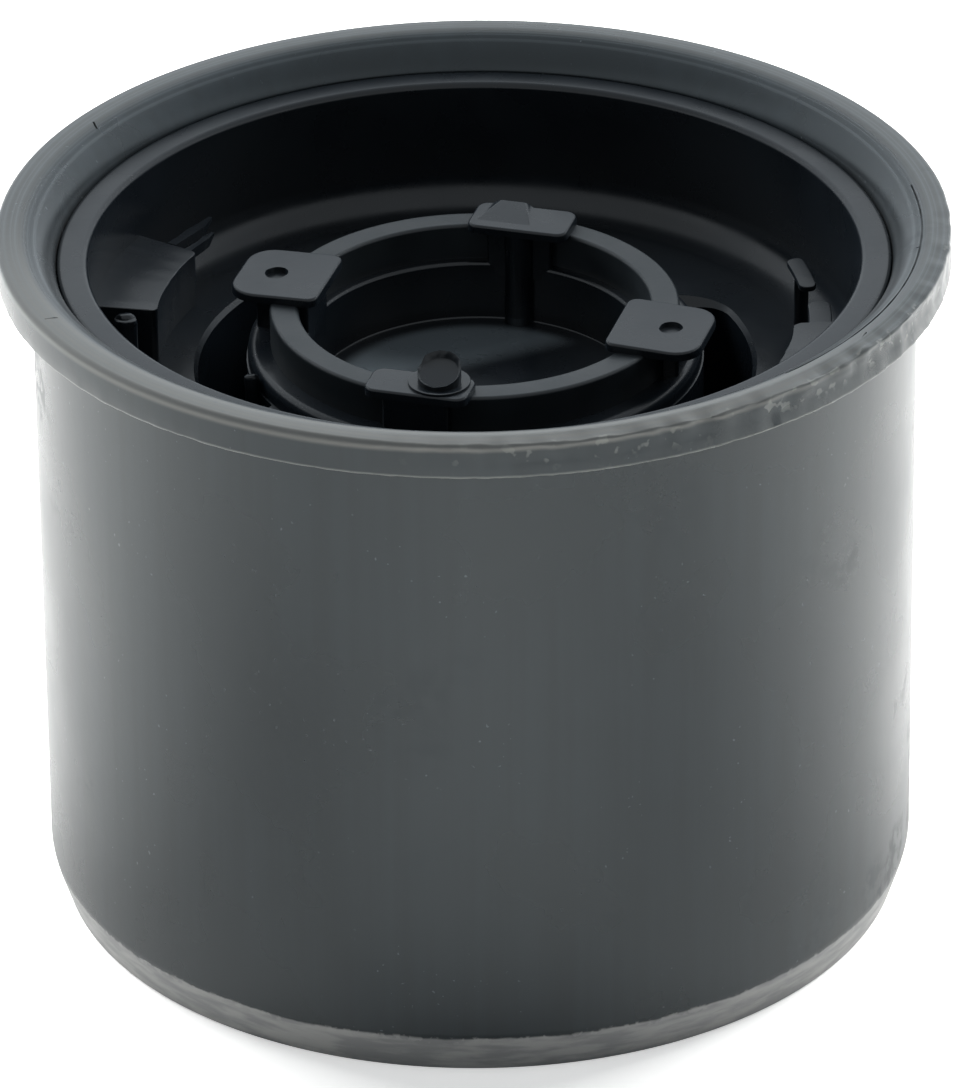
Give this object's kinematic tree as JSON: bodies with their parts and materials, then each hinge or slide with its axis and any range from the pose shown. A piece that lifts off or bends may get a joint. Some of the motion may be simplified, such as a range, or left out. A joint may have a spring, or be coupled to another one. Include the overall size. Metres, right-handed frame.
{
  "type": "control arm bushing",
  "caption": "Flanged control arm bushing: coated steel outer sleeve with a tapered lead-in, a rubber web with side voids and bump stops, and a steel inner sleeve.",
  "frame": {"origin": "centre of the outer sleeve's lead-in end, the end it stands on", "axes": "+Z along the sleeves' axis toward the flange, +X through the voids and the bump stops, +Y through the solid rubber arms"},
  "size_m": [0.0754, 0.0754, 0.0575],
  "materials": {
    "coated_steel": "satin black coating",
    "inner_steel": "satin dark grey phosphate",
    "rubber": "moulded, slightly glossy"
  },
  "bodies": {
    "root": {"outer_sleeve": "coated_steel", "inner_sleeve": "inner_steel", "rubber_body": "rubber"}
  },
  "joints": []
}
